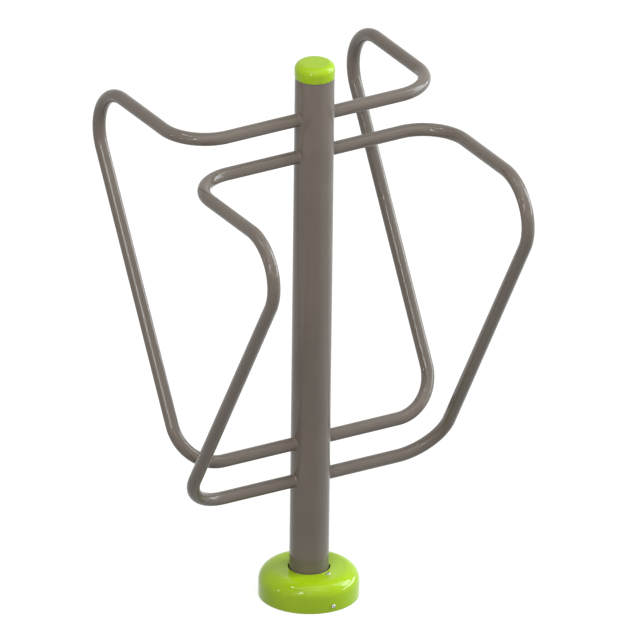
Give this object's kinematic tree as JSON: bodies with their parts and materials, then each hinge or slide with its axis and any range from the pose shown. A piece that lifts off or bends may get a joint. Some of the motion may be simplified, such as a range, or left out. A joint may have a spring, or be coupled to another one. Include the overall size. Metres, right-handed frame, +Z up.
{
  "type": "outdoor push-up bar",
  "caption": "Ground-mounted outdoor exercise post with bent tube handles at staggered heights for push-ups and dips, a push-in plastic cap and a domed split cover over its bolted foot.",
  "frame": {"origin": "on the ground at the post's axis, level with the underside of the ground flange", "axes": "+Z up along the post; +X to the right along the cross runs of the bars; +Y to the rear, where the higher pair of handles points"},
  "size_m": [0.684, 0.7986, 1.302],
  "materials": {
    "frame_coat": "glossy warm grey powder coat over galvanised steel",
    "green_plastic": "glossy lime green moulded plastic",
    "screw_steel": "plain stainless steel"
  },
  "bodies": {
    "root": {"post": "frame_coat", "base_flange": "frame_coat", "post_foot_weld": "frame_coat", "gusset_right": "frame_coat", "gusset_rear": "frame_coat", "gusset_left": "frame_coat", "gusset_front": "frame_coat", "rear_left_bar": "frame_coat", "rear_right_bar": "frame_coat", "front_left_bar": "frame_coat", "front_right_bar": "frame_coat", "weld_rear_left_lower": "frame_coat", "weld_rear_left_upper": "frame_coat", "weld_rear_right_lower": "frame_coat", "weld_rear_right_upper": "frame_coat", "weld_front_left_lower": "frame_coat", "weld_front_left_upper": "frame_coat", "weld_front_right_lower": "frame_coat", "weld_front_right_upper": "frame_coat", "post_cap": "green_plastic", "base_cover_left": "green_plastic", "base_cover_right": "green_plastic", "cover_top_screws": "screw_steel", "cover_side_screws": "screw_steel"}
  },
  "joints": []
}
